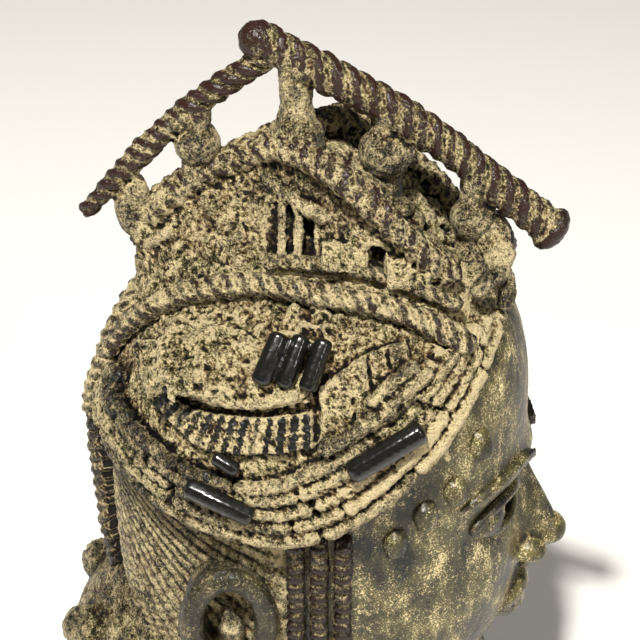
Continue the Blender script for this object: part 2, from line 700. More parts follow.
class Nodes:
    """Short names for the nodes of one material."""

    def __init__(self, material):
        self.tree = material.node_tree
        self.tree.nodes.clear()

    def add(self, kind, **values):
        node = self.tree.nodes.new(kind)
        for key, value in values.items():
            setattr(node, key, value)
        return node

    def link(self, out, to):
        self.tree.links.new(out, to)

    def mark(self, title):
        """One of the marks that the casting leaves on the mesh."""
        return self.add("ShaderNodeAttribute", attribute_name=title).outputs["Fac"]

    def noise(self, place, scale, detail=3.0, rough=0.6):
        node = self.add("ShaderNodeTexNoise")
        node.inputs["Scale"].default_value = scale
        node.inputs["Detail"].default_value = detail
        node.inputs["Roughness"].default_value = rough
        self.link(place, node.inputs["Vector"])
        return node.outputs["Fac"]

    def math(self, operation, *values):
        node = self.add("ShaderNodeMath", operation=operation)
        for k, value in enumerate(values):
            if isinstance(value, (int, float)):
                node.inputs[k].default_value = value
            else:
                self.link(value, node.inputs[k])
        return node.outputs[0]

    def plus(self, first, second):
        return self.math("ADD", first, second)

    def minus(self, first, second):
        return self.math("SUBTRACT", first, second)

    def times(self, first, second):
        return self.math("MULTIPLY", first, second)

    def scaled(self, value, share, offset):
        return self.math("MULTIPLY_ADD", value, share, offset)

    def layered(self, value, *layers):
        """The value and a share of each layer, which adds nothing at the layer's middle."""
        for layer, share in layers:
            value = self.plus(value, self.scaled(layer, share, -share / 2))
        return value

    def step(self, value, low, high, to_low=0.0, to_high=1.0):
        node = self.add("ShaderNodeMapRange", interpolation_type="SMOOTHSTEP")
        self.link(value, node.inputs["Value"])
        for key, number in (("From Min", low), ("From Max", high), ("To Min", to_low), ("To Max", to_high)):
            node.inputs[key].default_value = number
        return node.outputs["Result"]

    def mix(self, share, first, second):
        node = self.add("ShaderNodeMix", data_type="RGBA")
        for key, value in ((0, share), (6, first), (7, second)):
            if hasattr(value, "links"):
                self.link(value, node.inputs[key])
            elif key:
                node.inputs[key].default_value = (*value, 1.0)
            else:
                node.inputs[key].default_value = value
        return node.outputs[2]


def bronze(name):
    """Dark worn bronze under a speckled, sandy crust, with more gloss on the dark tubes."""
    if name in bpy.data.materials:
        return bpy.data.materials[name]
    tone = colours()
    material = bpy.data.materials.new(name)
    material.use_nodes = True
    n = Nodes(material)
    place = n.add("ShaderNodeTexCoord").outputs["Object"]
    fine, deep, smooth = n.mark("fine_hollow"), n.mark("deep_hollow"), n.mark("bare_skin")
    worn, ruddy = n.mark("worn"), n.mark("ruddy")
    broad = n.noise(place, 34.0, 2.0)
    patch = n.noise(place, 130.0)
    grit = n.noise(place, 420.0, 3.0, 0.65)
    speck = n.noise(place, 1150.0, 3.0, 0.75)

    # Where the crust lies: in hollows, less where worn
    cover = n.minus(n.scaled(fine, 0.30, 0.16), n.times(worn, 1.15))
    cover = n.plus(cover, n.times(n.scaled(deep, 2.0, -0.90), ruddy))
    crusty = n.step(n.layered(cover, (broad, 0.6), (patch, 0.8), (grit, 0.9), (speck, 1.1)), -0.24, 0.24)

    # Colour of the crust: brown grains, body, cream on what stands out
    grain = n.layered(n.scaled(fine, -1.10, 0.74), (broad, 0.6), (patch, 0.7), (grit, 1.4), (speck, 2.8))
    filled = n.math("MINIMUM", worn, 0.0)
    grain = n.minus(n.minus(grain, n.scaled(deep, 0.90, -0.45)), n.times(filled, 2.2))
    body = n.mix(n.step(n.noise(place, 70.0), 0.42, 0.62), tone.tan, tone.moss)
    crust = n.mix(n.step(grain, -0.42, 0.12), tone.brown, body)
    crust = n.mix(n.step(grain, 0.06, 0.60), crust, tone.cream)
    earthy = n.step(n.times(n.noise(place, 55.0, 2.0), n.plus(deep, 0.35)), 0.44, 0.60)
    crust = n.mix(n.times(earthy, 0.35), crust, tone.rust)

    # Bare metal, and the streaky patina of the smooth skin
    metal = n.mix(ruddy, tone.metal, tone.ruddy)
    metal = n.mix(n.step(speck, 0.70, 0.78, 0.0, 0.85), metal, tone.cream)
    streaky = n.add("ShaderNodeMapping")
    streaky.inputs["Scale"].default_value = (1.0, 1.0, 0.4)
    n.link(place, streaky.inputs["Vector"])
    streak = n.noise(streaky.outputs["Vector"], 90.0, 4.0, 0.65)
    blotch = n.layered(streak, (broad, 0.7), (speck, 0.5))
    skin = n.mix(n.step(blotch, 0.38, 0.68), tone.shade, tone.skin)
    skin = n.mix(n.step(blotch, 0.28, 0.40), tone.metal, skin)
    under = n.mix(smooth, metal, skin)
    shine = n.step(n.layered(streak, (speck, 1.2)), 0.58, 0.78, 0.0, 0.70)
    under = n.mix(n.times(shine, smooth), under, tone.cream)
    colour = n.mix(crusty, under, crust)
    crease = n.plus(n.scaled(fine, 0.55, filled), n.times(deep, 0.60))
    colour = n.mix(n.step(crease, 0.64, 0.98, 0.0, 0.94), colour, CREASE_COLOUR)

    shader = n.add("ShaderNodeBsdfPrincipled")
    n.link(colour, shader.inputs["Base Color"])
    bare_rough, specular = GLOSSY_METAL if name == "dark_tubes" else WORN_METAL
    rough = n.scaled(smooth, 0.10, n.step(crusty, 0.0, 1.0, bare_rough, CRUST_ROUGH))
    n.link(n.scaled(grit, 0.10, rough), shader.inputs["Roughness"])
    shader.inputs["Specular IOR Level"].default_value = specular
    relief = n.plus(n.times(grit, 1.8), n.scaled(speck, 1.3, 0.25))
    relief = n.plus(n.times(relief, crusty), n.times(grit, 0.25))
    calm = n.step(smooth, 0.0, 1.0, 1.0, 0.16)
    bump = n.add("ShaderNodeBump")
    bump.inputs["Distance"].default_value = BUMP_DEPTH
    n.link(n.times(n.step(worn, 0.45, 0.75, 1.0, 0.12), calm), bump.inputs["Strength"])
    n.link(relief, bump.inputs["Height"])
    n.link(bump.outputs["Normal"], shader.inputs["Normal"])
    out = n.add("ShaderNodeOutputMaterial")
    n.link(shader.outputs["BSDF"], out.inputs["Surface"])
    return material


# Pieces

class OBJECT_OT_head_and_face(bpy.types.Operator):
    """Skull, face and neck under the cap"""

    bl_idname = "bronze_head.head_and_face"
    bl_label = "Head and Face"
    NECK_RADIUS, NECK_SET_BACK, NECK_FOOT, NECK_TOP = 0.066, 0.008, 0.03, 0.17

    def execute(self, context):
        wax = Wax()

        def skin(ways):
            points = skin_points(ways)
            front = ease(0.030, 0.062, -points[:, 1])
            points[:, 1] -= face_push(points[:, 0], points[:, 2]) * front
            return points

        wax.sphere_form(skin)
        neck = [(0, self.NECK_SET_BACK, z) for z in np.linspace(self.NECK_FOOT, self.NECK_TOP, 8)]
        wax.cord(neck, self.NECK_RADIUS, rounding=0)
        for sign in SIDES:
            wing = on_face(sign * NOSE_WIDTH * 0.36, NOSE_BASE + 0.006, 0.001)
            wax.ball(wing, (0.0068, 0.0088, 0.0062))
        wax.ball(on_face(0.0, NOSE_BASE + 0.009, -0.0065), (0.0094, 0.0084, 0.0076))
        self.lips(wax)
        cuts = ((self.under_cap, MIDDLE), (self.in_collar, (0.0, self.NECK_SET_BACK, 0.075)))
        made = cast(wax, "head_and_face", sizes().skin_grain, rough=0.17, polish=self.bare_skin, worn=0.52,
                    cuts=cuts)
        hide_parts(NODE)
        return {"FINISHED"}

    @staticmethod
    def bare_skin(points):
        """The face is smooth; the skin behind it is less so."""
        return 0.15 + 0.85 * ease(-0.008, 0.030, -points[:, 1]) * ease(0.085, 0.10, points[:, 2])

    @staticmethod
    def under_cap(points):
        """The crown that the cap hides."""
        return points[:, 2] > np.maximum(rim_height(-points[:, 1]) + 0.018, 0.246)

    @staticmethod
    def in_collar(points):
        """The foot of the neck that the collar hides."""
        return points[:, 2] < 0.062

    @staticmethod
    def lips(wax):
        """Full closed lips, the upper one dipped at its middle."""
        for lip, girth in ((1, 0.0053), (-1, 0.0062)):
            line, radii = [], []
            for share in np.linspace(-1, 1, 21):
                swell = (1 - abs(share) ** 2.4) * (1 - 0.16 * float(hump(share, 0.16)) * (lip > 0))
                radii.append(0.0012 + girth * swell)
                height = MOUTH_LINE + 0.0016 * share**2 + lip * (0.0004 + girth * 0.82 * swell)
                line.append(on_face(share * 0.028, height, -0.0005 + 0.0018 * swell))
            wax.cord(line, radii)


class OBJECT_OT_face_details(bpy.types.Operator):
    """Eyes, brows and the raised, hatched marks"""

    bl_idname = "bronze_head.face_details"
    bl_label = "Face Details"
    # By distance ahead and height on the head's side
    MARK_SPOTS = ((0.0435, 0.212), (0.0561, 0.2248), (0.0687, 0.2341), (0.0786, 0.2542))
    MARK_HALF_WIDTH, MARK_HALF_HEIGHT, MARK_RISE = 0.0060, 0.0082, 0.0046

    def execute(self, context):
        wax = Wax()
        for sign in SIDES:
            self.eye(wax, sign)
            self.brow(wax, sign)
            self.marks(wax, sign)
        cast(wax, "face_details", FACE_GRAIN, rough=0.10, worn=0.6, cuts=((in_skin(0.0030), MIDDLE),),
             polish=lambda points: np.full(len(points), 0.7))
        return {"FINISHED"}

    @staticmethod
    def eye(wax, sign):
        """An almond eye between raised lids."""
        middle = sign * EYE_SPACING / 2
        centre = on_face(middle, EYE_LINE, -0.0030)
        wax.ball(centre, (EYE_WIDTH * 0.50, 0.0100, EYE_HEIGHT * 0.54), segments=32)
        wax.wear(centre + np.array([0.0, -0.009, 0.0]), 0.008, 0.95)
        for lid in (-1, 1):
            line = []
            for share in np.linspace(-1, 1, 23):
                bow = 1 - abs(share) ** 2.2
                height = EYE_LINE + lid * EYE_HEIGHT * (0.50 if lid > 0 else 0.42) * bow
                line.append(on_face(middle + share * EYE_WIDTH * 0.56, height, 0.0004 + 0.0036 * bow))
            wax.cord(line, LID_RADIUS * (1.0 if lid > 0 else 0.75))

    @staticmethod
    def brow(wax, sign):
        """A raised brow with fine slanting hairs."""
        brow, shares = [], np.linspace(-1, 1, 41)
        for share in shares:
            height = BROW_LINE + 0.0065 * (1 - share**2)
            brow.append(on_face(sign * (EYE_SPACING / 2 + 0.002 + share * 0.024), height, 0.0002))
        wax.cord(brow, 0.0030 * (1 - 0.55 * shares**4))
        for k in range(2, 38, 2):
            low = brow[k] + np.array([0, -0.0024, -0.0026])
            wax.bead(low, brow[k + 1] + np.array([0, -0.0024, 0.0028]), 0.0008)

    def marks(self, wax, sign):
        """The row of raised marks above the brow, each hatched across."""
        for place in self.MARK_SPOTS:
            spot = on_side(sign, place)[0]
            outward = Vector(spot - MIDDLE).normalized()
            turn = outward.to_track_quat("Z", "Y").to_matrix().to_4x4()
            wax.ball(spot, (self.MARK_HALF_WIDTH, self.MARK_HALF_HEIGHT, self.MARK_RISE), turn)
            for step in np.linspace(-0.0052, 0.0052, 6):
                line = []
                for across in np.linspace(-1, 1, 7):
                    side, up = 0.0052 * across, step + 0.0014 * across
                    inside = max(0.0, 1 - (side / 0.0062) ** 2 - (up / 0.0084) ** 2)
                    local = Vector((side, up, self.MARK_RISE * inside**0.5 + 0.0002))
                    line.append(Vector(spot) + turn.to_3x3() @ local)
                wax.cord(line, 0.0007)


class OBJECT_OT_hair_net(bpy.types.Operator):
    """Fine beaded strands of hair behind the ears and over the nape"""

    bl_idname = "bronze_head.hair_net"
    bl_label = "Hair Net"
    # Where the strands fan out from, their number in a turn of 2 pi radians, and their notches
    FAN_AHEAD, FAN_HEIGHT, STRANDS, NOTCH_SPACING = -0.118, 0.250, 104.0, 0.0046

    def execute(self, context):
        wax = Wax()

        def patch(ways):
            cover = self.region(skin_points(ways))
            return MIDDLE + ways * (head_reach(ways) * (0.93 + 0.07 * cover) + 0.0006 * cover)[:, None]

        wax.sphere_form(patch)
        cast(wax, "hair_net", HAIR_GRAIN, rough=0.42, worn=0.10, shape=self.strands,
             cuts=((in_skin(0.0016), MIDDLE),))
        return {"FINISHED"}

    @staticmethod
    def region(points):
        """Where hair shows between the rim, the ears and the collar."""
        ahead, height = -points[:, 1], points[:, 2]
        below = rim_height(ahead) - height
        return ease(-0.004, 0.0, below) * ease(0.004, -0.004, ahead) * ease(0.092, 0.100, height)

    def strands(self, points, normals):
        """Strands that fan out from the upper back, notched along their length."""
        ahead, up = -points[:, 1] - self.FAN_AHEAD, points[:, 2] - self.FAN_HEIGHT
        away, fan = np.hypot(up, ahead), np.arctan2(up, ahead)
        strand = 0.5 + 0.5 * np.cos(fan * self.STRANDS)
        notch = 0.5 + 0.5 * np.cos(away * 2 * math.pi / self.NOTCH_SPACING + fan * 40.0)
        rise = 0.0013 * strand**0.8 * (0.45 + 0.55 * notch) - 0.0004
        return points + normals * rise[:, None]


class OBJECT_OT_cap_sides(bpy.types.Operator):
    """The two woven sides of the cap, with their rows of beads and bricks"""

    bl_idname = "bronze_head.cap_sides"
    bl_label = "Cap Sides"
    # Shortest and longest bead of the rows, and least and greatest radius as shares of their pitch
    BEAD_LENGTHS, BEAD_GIRTHS = (0.022, 0.070), (0.54, 0.60)
    # Turned-up corner, by distance to the side, distance ahead and height
    CORNER = ((0.034, 0.072, 0.3205), (0.026, 0.080, 0.3225), (0.018, 0.0855, 0.3205),
              (0.022, 0.0872, 0.3130), (0.026, 0.0868, 0.3070))
    # Oval field on the cap's panel: place ahead and upward, and half sizes
    OVAL_CENTRE, OVAL = (-0.022, 0.0345), (0.0370, 0.0180, 0.0085)
    OVAL_LUMPS, OVAL_FOLDS, FOLDS_ABOVE = 30, 90, 40
    # Both ends on the panel, and radius
    SHORT_TUBES = (((-0.0585, 0.0372), (-0.0490, 0.0378), 0.0028),
                   ((-0.0590, 0.0300), (-0.0478, 0.0305), 0.0031),
                   ((-0.0565, 0.0235), (-0.0485, 0.0238), 0.0026))

    def execute(self, context):
        for sign, name, grain in ((RIGHT, "cap_right", CAP_GRAIN), (LEFT, "cap_left", FAR_CAP_GRAIN)):
            wax = Wax()
            wax.sphere_form(self.shell(sign))
            self.rows(wax, sign)
            self.brick_band(wax, sign)
            self.leaf_fan(wax, sign)
            self.oval_field(wax, sign)
            self.corner(wax, sign)
            cast(wax, name, grain, worn=0.0, cuts=((in_skin(0.003), MIDDLE), (under_crest, (0, 0, 0.29))))
        return {"FINISHED"}

    @staticmethod
    def shell(sign):
        """The cap's side as a thick shell that steps inwards below its rim."""
        def shape(ways):
            reach = head_reach(ways)
            points = MIDDLE + ways * reach[:, None]
            over = ease(-0.0015, 0.0015, points[:, 2] - rim_height(-points[:, 1]))
            side = ease(-0.004, 0.0, points[:, 0] * sign)
            cover = over * side
            lift = cap_thickness(-points[:, 1]) - 0.0028
            return MIDDLE + ways * (reach * (0.80 + 0.20 * cover) + lift * cover)[:, None]
        return shape

    def rows(self, wax, sign):
        """Rows of tubular beads round the cap's side, and two short ties across them."""
        draw = random.Random(11)
        pitch = sizes().plait_pitch
        for row in range(sizes().plait_rows):
            bearings = np.radians(np.linspace(-200, 39, 260))
            line = plait_line(sign, bearings, 0.0005 + row * pitch, -0.0010)
            path, run = even_path(line[::4], 0.0014)
            outward = (path - MIDDLE) / np.linalg.norm(path - MIDDLE, axis=1)[:, None]
            start = 0.0
            while start < run[-1] - 0.004:
                long = draw.uniform(*self.BEAD_LENGTHS)
                inside = (run >= start) & (run <= start + long)
                radius = pitch * draw.uniform(*self.BEAD_GIRTHS)
                lift = draw.uniform(-0.0006, 0.0008)
                if inside.sum() > 3:
                    forward = float(ease(0.0, 0.040, -path[inside][:, 1].mean()))
                    worn = draw.choice((0.05, 0.1, 0.15, 0.2, 0.3)) - 0.2 * forward
                    wax.cord(path[inside] + outward[inside] * lift, radius, rounding=0.4, worn=worn)
                start += long
        for ahead, upward in ((0.0427, -0.0202), (0.0656, 0.0013)):
            low = on_panel(sign, (ahead + 0.0018, upward - 0.0030), 0.0012)[0]
            high = on_panel(sign, (ahead - 0.0018, upward + 0.0030), 0.0012)[0]
            wax.bead(low, high, 0.0018)

    @staticmethod
    def band(wax, sign, low, high, count, gap, rise, worn, joint_depth):
        """Slabs side by side between two curves of the panel, a share of each left as a sunken joint."""
        shares = np.linspace(0, 1, count + 1)
        lows, _ = even_path([(*p, 0.0) for p in low], LINE_STEP)
        highs, _ = even_path([(*p, 0.0) for p in high], LINE_STEP)
        draw = random.Random(count)

        def at(line, share):
            marks = np.linspace(0, 1, len(line))
            return np.array([np.interp(share, marks, line[:, k]) for k in (0, 1)])

        def corners(start, end):
            spots = [at(lows, start), at(lows, end), at(highs, end), at(highs, start)]
            return on_panel(sign, spots, -0.0020)

        for a, b in zip(shares, shares[1:]):
            trim = gap * (b - a) / 2
            higher = draw.uniform(-0.3, 0.3) * joint_depth
            wax.slab(corners(a + trim, b - trim), rise + higher, worn=worn * draw.uniform(0.6, 1.25))
            wax.slab(corners(a, b), rise - joint_depth)
            joint = [at(lows, b) * (1 - share) + at(highs, b) * share for share in (0.1, 0.3, 0.5, 0.7, 0.9)]
            wax.wear(on_panel(sign, joint, rise - 0.0034), JOINT_WEAR_REACH, JOINT_WEAR)

    def brick_band(self, wax, sign):
        """Radial bricks inside the rows, and the larger blocks behind them."""
        low = [(-0.0609, 0.0165), (-0.0485, 0.0053), (-0.0368, -0.0016), (-0.0213, -0.0030),
               (-0.0040, -0.0010), (0.0105, 0.0012)]
        high = [(-0.0545, 0.0205), (-0.0450, 0.0160), (-0.0340, 0.0140), (-0.0195, 0.0135),
                (-0.0045, 0.0145), (0.0095, 0.0170)]
        self.band(wax, sign, low, high, count=13, gap=0.26, rise=0.0036, worn=0.58, joint_depth=0.0015)
        low = [(-0.0612, 0.0172), (-0.0665, 0.0255), (-0.0700, 0.0340), (-0.0715, 0.0420)]
        high = [(-0.0552, 0.0215), (-0.0585, 0.0290), (-0.0600, 0.0360), (-0.0590, 0.0430)]
        self.band(wax, sign, low, high, count=4, gap=0.14, rise=0.0038, worn=0.20, joint_depth=0.0022)

    def leaf_fan(self, wax, sign):
        """The fan of large leaves ahead of the oval field, over its cream cord."""
        low = [(0.0125, 0.0030), (0.0200, 0.0085), (0.0310, 0.0160), (0.0417, 0.0228), (0.0510, 0.0290)]
        high = [(0.0120, 0.0270), (0.0200, 0.0340), (0.0290, 0.0410), (0.0370, 0.0455), (0.0470, 0.0480)]
        self.band(wax, sign, low, high, count=5, gap=0.20, rise=0.0044, worn=0.10, joint_depth=0.0028)
        for low, high in (((0.0330, 0.0215), (0.0520, 0.0395)), ((0.0395, 0.0195), (0.0585, 0.0365))):
            wax.cord(on_panel(sign, np.linspace(low, high, 20), 0.0030), 0.0034, rounding=0.5, worn=0.05)
        spots = [(0.0130, 0.0000), (0.0225, 0.0060), (0.0330, 0.0130), (0.0440, 0.0205)]
        wax.smooth_cord(on_panel(sign, spots, 0.0030), 0.0042, rounding=0.4, worn=0.2)

    def oval_field(self, wax, sign):
        """The raised crusty oval with its overhanging lip and short tubes."""
        axis, ahead, upward = side_axes(sign)
        centre = on_panel(sign, self.OVAL_CENTRE, -0.0030)[0]
        turn = Matrix((ahead, upward, axis)).transposed().to_4x4()
        turn = turn @ Matrix.Rotation(math.radians(-2), 4, "Z") @ Matrix.Rotation(math.radians(-20), 4, "X")
        wax.ball(centre, self.OVAL, turn, segments=48)
        square = np.array(turn.to_3x3())

        def on_oval(line):
            line = np.atleast_2d(line)
            long, wide, rise = self.OVAL
            inside = 1 - (line[:, 0] / long) ** 2 - (line[:, 1] / wide) ** 2
            local = np.column_stack([line, rise * np.sqrt(np.clip(inside, 0.03, 1.0)) - 0.0003])
            return local @ square.T + centre

        lip = on_panel(sign, [(-0.0530, 0.0300), (-0.0440, 0.0240), (-0.0320, 0.0205), (-0.0200, 0.0195),
                              (-0.0080, 0.0205), (0.0030, 0.0240)], 0.0036)
        wax.smooth_cord(lip, 0.0034)
        draw = random.Random(5)
        for _ in range(self.OVAL_LUMPS):
            size = draw.uniform(0.0026, 0.0052)
            spot = on_oval((draw.uniform(-0.030, 0.030), draw.uniform(-0.013, 0.013)))[0]
            wax.ball(spot, (size * 1.5, size * 0.9, size * 0.34), turn)
        spots = [(draw.uniform(-0.033, 0.033), draw.uniform(-0.015, 0.015)) for _ in range(self.OVAL_FOLDS)]
        wax.folds(spots, on_oval, 21)
        spots = [(draw.uniform(-0.056, 0.016), draw.uniform(0.044, 0.057)) for _ in range(self.FOLDS_ABOVE)]
        wax.folds(spots, lambda line: on_panel(sign, line, -0.0020), 22)
        for low, high, radius in self.SHORT_TUBES:
            wax.bead(*on_panel(sign, (low, high), 0.0052), radius, worn=0.60)

    def corner(self, wax, sign):
        """The turned-up corner where the rim meets the crest's front."""
        line = [(sign * side, -ahead, height) for side, ahead, height in self.CORNER]
        wax.smooth_cord(line, 0.0042, LINE_STEP, worn=0.25)


class OBJECT_OT_cap_tubes(bpy.types.Operator):
    """The large dark glossy tubes set into the cap's sides"""

    bl_idname = "bronze_head.cap_tubes"
    bl_label = "Cap Tubes"
    # Both ends on the cap's panel, radius, and height of the middle line over the cap
    TUBES = (((-0.0447, -0.0187), (-0.0152, -0.0308), 0.0048, 0.0036),
             ((0.0259, -0.0088), (0.0563, 0.0116), 0.0056, 0.0040),
             ((-0.0327, -0.0048), (-0.0216, -0.0106), 0.0034, 0.0024),
             ((-0.0050, 0.0490), (-0.0130, 0.0275), 0.0047, 0.0058),
             ((0.0040, 0.0485), (-0.0030, 0.0265), 0.0040, 0.0052),
             ((0.0135, 0.0475), (0.0068, 0.0255), 0.0042, 0.0050))

    def execute(self, context):
        for sign, name in ((RIGHT, "cap_tubes_right"), (LEFT, "cap_tubes_left")):
            wax = Wax()
            for low, high, radius, lift in self.TUBES:
                wax.cord(on_panel(sign, np.linspace(low, high, 40), lift), radius, rounding=0.45)
            cast(wax, name, TUBE_GRAIN, rough=0.20, worn=0.75, finish="dark_tubes")
        return {"FINISHED"}


class OBJECT_OT_crest(bpy.types.Operator):
    """The house-shaped box on the crown with its windows and upper ropes"""

    bl_idname = "bronze_head.crest"
    bl_label = "Crest"
    # On the wall, by distance ahead and height, and a block's length
    LEDGE = ((-0.0200, 0.3590), (-0.010, 0.3556), (0.002, 0.3518), (0.010, 0.3490))
    BACK_FOLD = ((-0.074, 0.318), (-0.070, 0.325), (-0.060, 0.330))
    BLOCKS = ((0.0165, 0.334, 0.018), (0.041, 0.330, 0.010), (0.050, 0.3275, 0.008))
    BAR_WIDTH, TROUGH_LUMPS, WALL_FOLDS = 0.0034, 70, 120

    def execute(self, context):
        wax = Wax()
        wax.take(self.box())
        for sign in SIDES:
            self.window_bars(wax, sign)
            aheads = np.linspace(-CREST_BACK, 0.064, 18)
            line = [(sign * ridge_half_width(a), -a, ridge_height(a)) for a in aheads]
            wax.rope(line, sizes().crest_rope_radius, sizes().rope_lay, worn=-0.06, ruddy=0.75)
        draw = random.Random(3)
        for _ in range(self.TROUGH_LUMPS):
            ahead = draw.uniform(0.008, 0.080)
            half = ridge_half_width(ahead) * 0.7
            side = draw.uniform(-half, half)
            size = draw.uniform(0.0025, 0.0050)
            centre = (side, -ahead, ridge_height(ahead) - CREST_TROUGH)
            wax.ball(centre, (size * 1.4, size * 1.4, size * 0.8))
        # The windows are kept free of folds
        for sign in SIDES:
            spots = [(draw.uniform(-0.074, 0.060), draw.uniform(0.10, 0.95)) for _ in range(self.WALL_FOLDS)]
            spots = [(a, share) for a, share in spots if not -0.026 < a < 0.040 or share > 0.90]
            wax.folds(spots, lambda line: self.on_wall(sign, line), 31)
        wax.ball((0.0, -0.079, 0.331), (0.010, 0.0085, 0.0095))
        wax.ball((-0.010, -0.083, 0.325), (0.0075, 0.0070, 0.0080))
        cast(wax, "crest", CREST_GRAIN, rough=1.1, worn=0.10, cuts=((in_skin(0.004, cap=True), MIDDLE),))
        return {"FINISHED"}

    @staticmethod
    def on_wall(sign, line):
        """Points of the crest's wall by distance ahead and share of the wall's height."""
        points = []
        for ahead, share in line:
            foot = crest_foot(ahead)[1]
            height = foot + share * (ridge_height(ahead) - foot)
            points.append((sign * (wall_out(ahead, height) - 0.0003), -ahead, height))
        return points

    @staticmethod
    def box():
        """The crest's walls and trough, bridged between rings along its length."""
        bm = bmesh.new()
        rings = []
        for ahead in np.linspace(-CREST_BACK, CREST_FRONT, 40):
            top, half = ridge_height(ahead), ridge_half_width(ahead)
            foot_half, foot_height = crest_foot(ahead)
            foot_height = min(foot_height, top) - CREST_ROOT
            trough = CREST_TROUGH * float(ease(0.004, 0.02, half))
            outline = [(foot_half, foot_height), (foot_half * 0.97, foot_height + CREST_ROOT), (half, top),
                       (half * 0.45, top - trough)]
            outline += [(-x, z) for x, z in reversed(outline)]
            verts = [bm.verts.new((x, -ahead, z)) for x, z in outline]
            rings.append([bm.edges.new((a, b)) for a, b in zip(verts, verts[1:] + verts[:1])])
        for ring, following in zip(rings, rings[1:]):
            bmesh.ops.bridge_loops(bm, edges=ring + following)
        bmesh.ops.holes_fill(bm, edges=[e for e in bm.edges if e.is_boundary], sides=0)
        bmesh.ops.recalc_face_normals(bm, faces=bm.faces)
        box = placed("crest_box", mesh_of(bm, "crest_box"))
        cuts = Wax()
        for sign in SIDES:
            lean = Matrix.Rotation(-sign * WINDOW_LEAN, 4, "Y")
            for ahead, width, height in WINDOWS:
                centre = (sign * wall_out(ahead, height), -ahead, height)
                cuts.block(centre, (2 * WINDOW_DEPTH, width, WINDOW_HEIGHT), lean)
        cutter = cuts.as_object("window_cuts")
        cut = box.modifiers.new("windows", "BOOLEAN")
        cut.operation = "DIFFERENCE"
        cut.object = cutter
        made = made_real(box, "crest_box")
        bpy.data.objects.remove(cutter)
        return made

    def window_bars(self, wax, sign):
        """Bars in the large window, a ledge over both and the blocks beside them."""
        lean = Matrix.Rotation(-sign * WINDOW_LEAN, 4, "Y")
        ahead, width, height = WINDOWS[0]
        for place in (ahead - width / 6, ahead + width / 6):
            centre = (sign * (wall_out(place, height) - WINDOW_DEPTH / 2), -place, height)
            wax.block(centre, (WINDOW_DEPTH, self.BAR_WIDTH, WINDOW_HEIGHT * 1.1), lean)
        ledge = [(sign * (wall_out(a, z) - 0.0008), -a, z) for a, z in self.LEDGE]
        ledge = even_path(ledge, LINE_STEP)[0]
        wax.cord(ledge, np.linspace(0.0028, 0.0046, len(ledge)))
        for place, level, size in self.BLOCKS:
            wax.block((sign * wall_out(place, level), -place, level), (0.0080, size, 0.013), lean)
        wax.cord([(sign * (wall_out(a, z) + 0.001), -a, z) for a, z in self.BACK_FOLD], 0.0040)


class OBJECT_OT_crown_ropes(bpy.types.Operator):
    """The ropes along the crown below the crest, and the cord down the nape"""

    bl_idname = "bronze_head.crown_ropes"
    bl_label = "Crown Ropes"
    # Where each rope starts and ends, in degrees from the brow over the crown
    LONG_RUN, SHORT_RUN, NAPE_RUN = (172, 50), (98, 56), (164, 238)

    def execute(self, context):
        wax = Wax()
        lay = sizes().rope_lay
        for sign in SIDES:
            degrees = np.linspace(*self.LONG_RUN, 24)
            spreads = sign * CROWN_ROPE_SPREAD * (0.30 + 1.10 * ease(175, 60, degrees))
            line = over_crown(np.radians(degrees), spreads, CAP_THICKNESS + 0.0015)
            wax.rope(line, sizes().crown_rope_radius, lay, worn=-0.14, ruddy=0.6)
            degrees = np.linspace(*self.SHORT_RUN, 10)
            spreads = sign * CROWN_ROPE_SPREAD * (0.80 + 0.28 * ease(*self.SHORT_RUN, degrees))
            line = over_crown(np.radians(degrees), spreads, CAP_THICKNESS + 0.0035)
            wax.rope(line, LOW_ROPE_RADIUS, lay * 0.8, worn=0.0, ruddy=0.4)
        degrees = np.arange(*self.NAPE_RUN, 6)
        nape = over_crown(np.radians(degrees), np.zeros(len(degrees)), 0.0085)
        wax.rope(nape, NAPE_ROPE_RADIUS, lay, worn=0.1, ruddy=0.4)
        wax.ball(nape[-1] + np.array([0.0, 0.003, -0.001]), (0.0075, 0.0085, 0.0085))
        cast(wax, "crown_ropes", sizes().fine_grain, rough=0.65, cuts=((in_skin(0.0015, cap=True), MIDDLE),))
        return {"FINISHED"}


